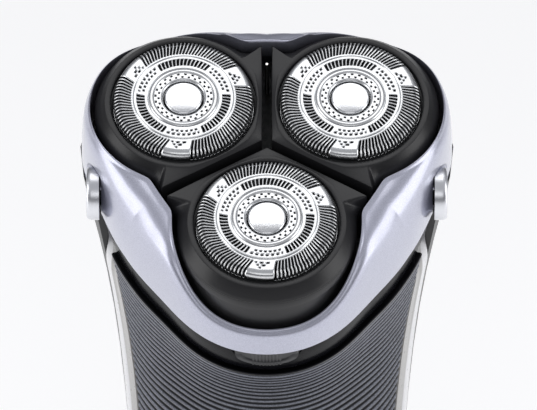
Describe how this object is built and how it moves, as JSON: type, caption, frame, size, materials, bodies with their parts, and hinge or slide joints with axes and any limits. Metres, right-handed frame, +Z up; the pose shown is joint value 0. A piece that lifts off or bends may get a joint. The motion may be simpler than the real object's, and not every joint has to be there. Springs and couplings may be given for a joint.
{
  "type": "electric shaver",
  "caption": "Cordless rotary shaver with tilting round cutting heads on a bent, ribbed handle and a fold-out trimmer.",
  "frame": {"origin": "centre of the flat foot of the base", "axes": "+Z up the handle, -Y the front with the grip, on/off button and cutting heads, +X to the right seen from the front"},
  "size_m": [0.0686, 0.0709, 0.1594],
  "materials": {
    "satin_black": "satin moulded plastic, fine grain",
    "gloss_black": "polished black plastic",
    "grip_gloss": "dark pearl plastic with fine moulded ribs",
    "silver_lacquer": "silver-lilac metallic lacquer",
    "chrome": "bright chrome plating",
    "shaver_steel": "polished and slotted stainless steel",
    "inner_steel": "plain steel",
    "strip_white": "light grey plastic strip",
    "grey_plastic": "glass-filled plastic",
    "gear_plastic": "acetal",
    "board": "solder-masked board",
    "cell": "printed sleeve",
    "lens": "clear green lens"
  },
  "bodies": {
    "root": {"rear_shell": "satin_black", "front_grip": "grip_gloss", "side_strip_left": "strip_white", "side_strip_right": "strip_white", "neck_band": "gloss_black", "base_cap": "gloss_black", "charge_socket": "gloss_black", "socket_pin_left": "inner_steel", "socket_pin_right": "inner_steel", "drive_deck": "satin_black", "gear_plate": "grey_plastic", "inner_frame": "grey_plastic", "battery": "cell", "circuit_board": "board", "tact_switch": "inner_steel", "motor": "inner_steel", "button_bezel": "chrome", "charge_light": "lens", "deck_screw_1": "inner_steel", "deck_screw_2": "inner_steel", "deck_screw_3": "inner_steel", "hinge_pin": "inner_steel", "trimmer_tray": "satin_black", "trimmer_pin": "inner_steel"},
    "head_unit": {"head_collar": "silver_lacquer", "side_ear_left": "chrome", "side_ear_right": "chrome", "head_frame": "satin_black", "centre_stud": "inner_steel"},
    "holder_front": {"holder_front": "satin_black", "retaining_ring_front": "grey_plastic"},
    "cap_front": {"shaving_cap_front": "shaver_steel", "cap_disc_front": "chrome"},
    "cutter_front": {"cutter_front": "shaver_steel"},
    "gear_front": {"drive_gear_front": "gear_plastic", "spindle_front": "grey_plastic"},
    "holder_right": {"holder_right": "satin_black", "retaining_ring_right": "grey_plastic"},
    "cap_right": {"shaving_cap_right": "shaver_steel", "cap_disc_right": "chrome"},
    "cutter_right": {"cutter_right": "shaver_steel"},
    "gear_right": {"drive_gear_right": "gear_plastic", "spindle_right": "grey_plastic"},
    "holder_left": {"holder_left": "satin_black", "retaining_ring_left": "grey_plastic"},
    "cap_left": {"shaving_cap_left": "shaver_steel", "cap_disc_left": "chrome"},
    "cutter_left": {"cutter_left": "shaver_steel"},
    "gear_left": {"drive_gear_left": "gear_plastic", "spindle_left": "grey_plastic"},
    "pinion": {"motor_pinion": "gear_plastic", "motor_shaft": "inner_steel"},
    "release_button": {"release_button": "gloss_black"},
    "power_button": {"power_button": "gloss_black"},
    "trimmer_arm": {"trimmer_arm": "satin_black", "trimmer_comb": "shaver_steel"},
    "trimmer_blade": {"trimmer_blade": "shaver_steel"},
    "trimmer_slide": {"trimmer_slide": "satin_black"}
  },
  "joints": [
    {"name": "head_opening", "type": "hinge", "parent": "root", "child": "head_unit", "pos_m": [0, 0.01616, 0.14697], "axis": [-1, 0, 0], "range_deg": [0, 100]},
    {"name": "holder_front_tilt", "type": "hinge", "parent": "head_unit", "child": "holder_front", "pos_m": [0, -0.03035, 0.13691], "axis": [1, 0, 0], "range_deg": [-3.5, 3.5], "stiffness_Nm_per_rad": 0.4},
    {"name": "cap_front_press", "type": "slide", "parent": "holder_front", "child": "cap_front", "axis": [0, 0.342, -0.9397], "range_m": [0, 0.0012], "stiffness_N_per_m": 900, "springref_m": -0.0008},
    {"name": "cutter_front_spin", "type": "hinge", "parent": "cap_front", "child": "cutter_front", "pos_m": [0, -0.03384, 0.14649], "axis": [0, -0.342, 0.9397], "continuous": true},
    {"name": "gear_front_spin", "type": "hinge", "parent": "root", "child": "gear_front", "pos_m": [0, -0.02714, 0.12807], "axis": [0, -0.342, 0.9397], "continuous": true},
    {"name": "holder_right_tilt", "type": "hinge", "parent": "head_unit", "child": "holder_right", "pos_m": [0.0152, -0.00561, 0.14591], "axis": [-0.5, 0.8138, 0.2962], "range_deg": [-3.5, 3.5], "stiffness_Nm_per_rad": 0.4},
    {"name": "cap_right_press", "type": "slide", "parent": "holder_right", "child": "cap_right", "axis": [0, 0.342, -0.9397], "range_m": [0, 0.0012], "stiffness_N_per_m": 900, "springref_m": -0.0008},
    {"name": "cutter_right_spin", "type": "hinge", "parent": "cap_right", "child": "cutter_right", "pos_m": [0.0152, -0.0091, 0.15549], "axis": [0, -0.342, 0.9397], "continuous": true},
    {"name": "gear_right_spin", "type": "hinge", "parent": "root", "child": "gear_right", "pos_m": [0.0152, -0.0024, 0.13708], "axis": [0, -0.342, 0.9397], "continuous": true},
    {"name": "holder_left_tilt", "type": "hinge", "parent": "head_unit", "child": "holder_left", "pos_m": [-0.0152, -0.00561, 0.14591], "axis": [-0.5, -0.8138, -0.2962], "range_deg": [-3.5, 3.5], "stiffness_Nm_per_rad": 0.4},
    {"name": "cap_left_press", "type": "slide", "parent": "holder_left", "child": "cap_left", "axis": [0, 0.342, -0.9397], "range_m": [0, 0.0012], "stiffness_N_per_m": 900, "springref_m": -0.0008},
    {"name": "cutter_left_spin", "type": "hinge", "parent": "cap_left", "child": "cutter_left", "pos_m": [-0.0152, -0.0091, 0.15549], "axis": [0, -0.342, 0.9397], "continuous": true},
    {"name": "gear_left_spin", "type": "hinge", "parent": "root", "child": "gear_left", "pos_m": [-0.0152, -0.0024, 0.13708], "axis": [0, -0.342, 0.9397], "continuous": true},
    {"name": "pinion_spin", "type": "hinge", "parent": "root", "child": "pinion", "pos_m": [0, -0.01065, 0.13408], "axis": [0, -0.342, 0.9397], "continuous": true},
    {"name": "release_press", "type": "slide", "parent": "root", "child": "release_button", "axis": [0, 0.9397, 0.342], "range_m": [0, 0.0012], "stiffness_N_per_m": 800, "springref_m": -0.0008},
    {"name": "power_press", "type": "slide", "parent": "root", "child": "power_button", "axis": [0, 1, 0], "range_m": [0, 0.0008], "stiffness_N_per_m": 800, "springref_m": -0.0008},
    {"name": "trimmer_swing", "type": "hinge", "parent": "root", "child": "trimmer_arm", "pos_m": [0, 0.01775, 0.1155], "axis": [1, 0, 0], "range_deg": [0, 75]},
    {"name": "trimmer_stroke", "type": "slide", "parent": "trimmer_arm", "child": "trimmer_blade", "axis": [1, 0, 0], "range_m": [-0.001, 0.001]},
    {"name": "trimmer_release", "type": "slide", "parent": "root", "child": "trimmer_slide", "axis": [0, 0.084, 0.9965], "range_m": [0, 0.005]}
  ],
  "couplings": [
    {"joint": "cutter_front_spin", "follows": "gear_front_spin", "ratio": 1},
    {"joint": "gear_right_spin", "follows": "gear_front_spin", "ratio": 1},
    {"joint": "cutter_right_spin", "follows": "gear_front_spin", "ratio": 1},
    {"joint": "gear_left_spin", "follows": "gear_front_spin", "ratio": 1},
    {"joint": "cutter_left_spin", "follows": "gear_front_spin", "ratio": 1},
    {"joint": "pinion_spin", "follows": "gear_front_spin", "ratio": -2.375}
  ]
}
